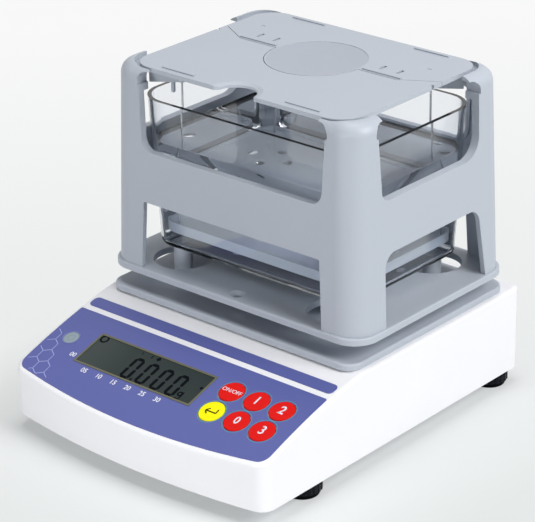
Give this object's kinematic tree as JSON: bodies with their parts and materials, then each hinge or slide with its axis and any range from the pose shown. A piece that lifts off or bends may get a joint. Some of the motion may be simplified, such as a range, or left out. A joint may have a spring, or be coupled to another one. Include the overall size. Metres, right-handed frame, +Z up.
{
  "type": "benchtop density meter",
  "caption": "Sloped weighing housing with keys and a display, under a four-pillar weighing frame with a clear water tank and a lift-off top tray.",
  "frame": {"origin": "on the bench, under the centre of the housing's footprint", "axes": "+X to the user's right, +Y away from the user, +Z up"},
  "size_m": [0.19, 0.238, 0.2012],
  "materials": {
    "housing_white": "satin",
    "cover_grey": "satin",
    "film_blue": "satin",
    "bezel_olive": "satin",
    "window_clear": "polished",
    "display_dark": "polished",
    "board_green": "satin",
    "chip_black": "matte",
    "steel": "brushed",
    "brass": "machined",
    "cell_aluminium": "machined",
    "frame_grey": "satin",
    "key_red": "gloss",
    "key_yellow": "gloss",
    "acrylic_clear": "polished",
    "vial_silver": "satin",
    "vial_green": "polished",
    "vial_glass": "polished",
    "foot_black": "satin",
    "pad_rubber": "matte"
  },
  "bodies": {
    "base": {"upper_housing": "housing_white", "bottom_cover": "cover_grey", "housing_screws": "steel", "foot_nuts": "brass", "panel_film": "film_blue", "strip_film": "film_blue", "display_bezel": "bezel_olive", "display_window": "window_clear", "display_module": "display_dark", "key_board": "board_green", "key_switches": "chip_black", "level_cup": "vial_silver", "level_fluid": "vial_green", "level_lens": "vial_glass", "main_board": "board_green", "board_parts": "chip_black", "power_jack": "chip_black", "load_cell": "cell_aluminium", "cell_mount": "cell_aluminium", "overload_stop": "steel", "fixed_tray": "frame_grey", "tank_posts": "frame_grey"},
    "weigh_frame": {"frame_plate": "frame_grey", "frame_walls": "frame_grey", "frame_hub": "cell_aluminium"},
    "top_tray": {"top_plate_front": "frame_grey", "top_plate_rear": "frame_grey", "tray_clips": "frame_grey", "hanger_wires": "steel", "hanging_dish": "frame_grey"},
    "tank_body": {"tank": "acrylic_clear"},
    "key_body_1": {"key_1": "key_red"},
    "key_body_2": {"key_2": "key_red"},
    "key_body_3": {"key_3": "key_red"},
    "key_body_4": {"key_4": "key_yellow"},
    "key_body_5": {"key_5": "key_red"},
    "key_body_6": {"key_6": "key_red"},
    "foot_fl": {"foot_pad_fl": "pad_rubber"},
    "foot_screw_fl": {"foot_wheel_fl": "foot_black", "foot_stud_fl": "steel"},
    "foot_fr": {"foot_pad_fr": "pad_rubber"},
    "foot_screw_fr": {"foot_wheel_fr": "foot_black", "foot_stud_fr": "steel"},
    "foot_rl": {"foot_pad_rl": "pad_rubber"},
    "foot_screw_rl": {"foot_wheel_rl": "foot_black", "foot_stud_rl": "steel"},
    "foot_rr": {"foot_pad_rr": "pad_rubber"},
    "foot_screw_rr": {"foot_wheel_rr": "foot_black", "foot_stud_rr": "steel"}
  },
  "joints": [
    {"name": "frame_press", "type": "slide", "parent": "base", "child": "weigh_frame", "axis": [0, 0, -1], "range_m": [0, 0.00025], "stiffness_N_per_m": 20000, "springref_m": -0.0002},
    {"name": "tray_lift", "type": "slide", "parent": "weigh_frame", "child": "top_tray", "axis": [0, 0, 1], "range_m": [0, 0.26]},
    {"name": "tank_lift", "type": "slide", "parent": "base", "child": "tank_body", "axis": [0, 0, 1], "range_m": [0, 0.13]},
    {"name": "key_press_1", "type": "slide", "parent": "base", "child": "key_body_1", "axis": [0, 0.285, -0.9585], "range_m": [0, 0.0003], "stiffness_N_per_m": 1500},
    {"name": "key_press_2", "type": "slide", "parent": "base", "child": "key_body_2", "axis": [0, 0.285, -0.9585], "range_m": [0, 0.0003], "stiffness_N_per_m": 1500},
    {"name": "key_press_3", "type": "slide", "parent": "base", "child": "key_body_3", "axis": [0, 0.285, -0.9585], "range_m": [0, 0.0003], "stiffness_N_per_m": 1500},
    {"name": "key_press_4", "type": "slide", "parent": "base", "child": "key_body_4", "axis": [0, 0.3208, -0.9471], "range_m": [0, 0.0003], "stiffness_N_per_m": 1500},
    {"name": "key_press_5", "type": "slide", "parent": "base", "child": "key_body_5", "axis": [0, 0.3208, -0.9471], "range_m": [0, 0.0003], "stiffness_N_per_m": 1500},
    {"name": "key_press_6", "type": "slide", "parent": "base", "child": "key_body_6", "axis": [0, 0.3208, -0.9471], "range_m": [0, 0.0003], "stiffness_N_per_m": 1500},
    {"name": "foot_reach_fl", "type": "slide", "parent": "base", "child": "foot_fl", "axis": [0, 0, -1], "range_m": [0, 0.006]},
    {"name": "foot_turn_fl", "type": "hinge", "parent": "foot_fl", "child": "foot_screw_fl", "pos_m": [-0.083, -0.066, 0.005], "axis": [0, 0, -1], "range_deg": [0, 2160]},
    {"name": "foot_reach_fr", "type": "slide", "parent": "base", "child": "foot_fr", "axis": [0, 0, -1], "range_m": [0, 0.006]},
    {"name": "foot_turn_fr", "type": "hinge", "parent": "foot_fr", "child": "foot_screw_fr", "pos_m": [0.083, -0.066, 0.005], "axis": [0, 0, -1], "range_deg": [0, 2160]},
    {"name": "foot_reach_rl", "type": "slide", "parent": "base", "child": "foot_rl", "axis": [0, 0, -1], "range_m": [0, 0.006]},
    {"name": "foot_turn_rl", "type": "hinge", "parent": "foot_rl", "child": "foot_screw_rl", "pos_m": [-0.083, 0.106, 0.005], "axis": [0, 0, -1], "range_deg": [0, 2160]},
    {"name": "foot_reach_rr", "type": "slide", "parent": "base", "child": "foot_rr", "axis": [0, 0, -1], "range_m": [0, 0.006]},
    {"name": "foot_turn_rr", "type": "hinge", "parent": "foot_rr", "child": "foot_screw_rr", "pos_m": [0.083, 0.106, 0.005], "axis": [0, 0, -1], "range_deg": [0, 2160]}
  ],
  "couplings": [
    {"joint": "tank_lift", "follows": "tray_lift", "ratio": 0.5},
    {"joint": "foot_reach_fl", "follows": "foot_turn_fl", "m_per_rad": 0.000159},
    {"joint": "foot_reach_fr", "follows": "foot_turn_fr", "m_per_rad": 0.000159},
    {"joint": "foot_reach_rl", "follows": "foot_turn_rl", "m_per_rad": 0.000159},
    {"joint": "foot_reach_rr", "follows": "foot_turn_rr", "m_per_rad": 0.000159}
  ]
}
